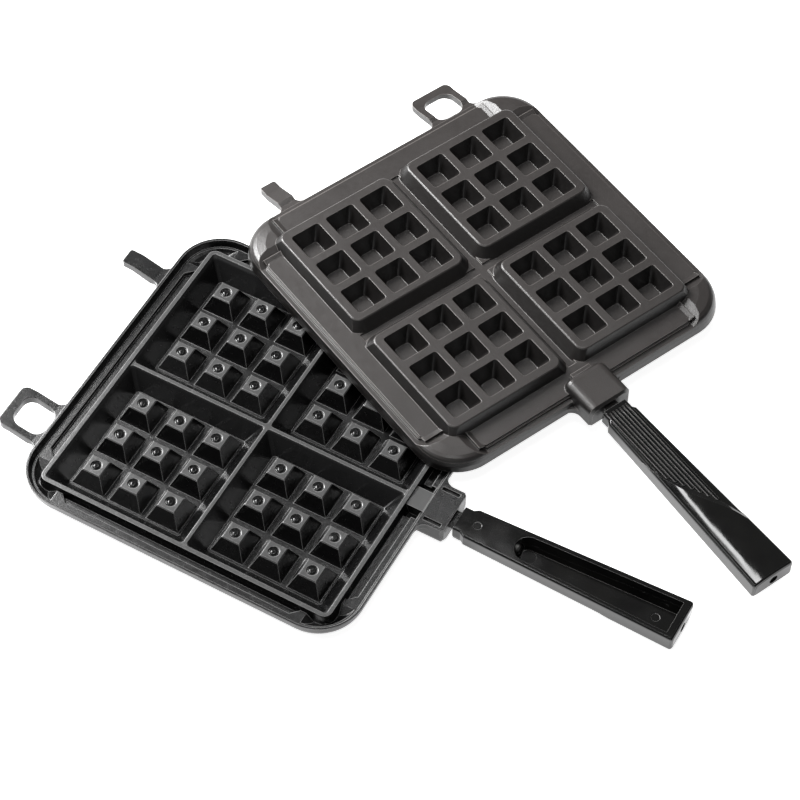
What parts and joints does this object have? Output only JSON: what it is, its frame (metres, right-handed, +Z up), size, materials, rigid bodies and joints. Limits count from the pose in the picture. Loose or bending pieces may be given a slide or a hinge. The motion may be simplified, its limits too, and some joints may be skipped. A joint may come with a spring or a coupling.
{
  "type": "stovetop waffle iron",
  "caption": "Stovetop waffle iron: cast square halves with studded wells, hinge tabs and moulded handles, laid open across each other",
  "frame": {"origin": "the middle of the lower half's four blocks, in the plane of the stove", "axes": "+X along the lower half's handle, +Y towards the side where the upper half lies, +Z up"},
  "size_m": [0.4412, 0.3964, 0.0323],
  "materials": {
    "lower_casting": "cast aluminium under a satin black non-stick coat",
    "upper_casting": "cast aluminium under a matte dark coat",
    "handle": "moulded black phenolic, glossy",
    "fastener": "darkened steel",
    "washer": "spring steel"
  },
  "bodies": {
    "lower_half": {"lower_plate": "lower_casting", "lower_handle": "handle", "lower_handle_screw": "fastener", "lower_lock_washer": "washer"},
    "upper_half": {"upper_plate": "upper_casting", "upper_handle": "handle", "upper_handle_screw": "fastener", "upper_lock_washer": "washer"}
  },
  "joints": [
    {"name": "tab_hinge", "type": "hinge", "parent": "lower_half", "child": "upper_half", "pos_m": [-0.05359, 0.20478, 0.0163], "axis": [-0.4129, -0.9108, 0], "range_deg": [0, 100]}
  ]
}
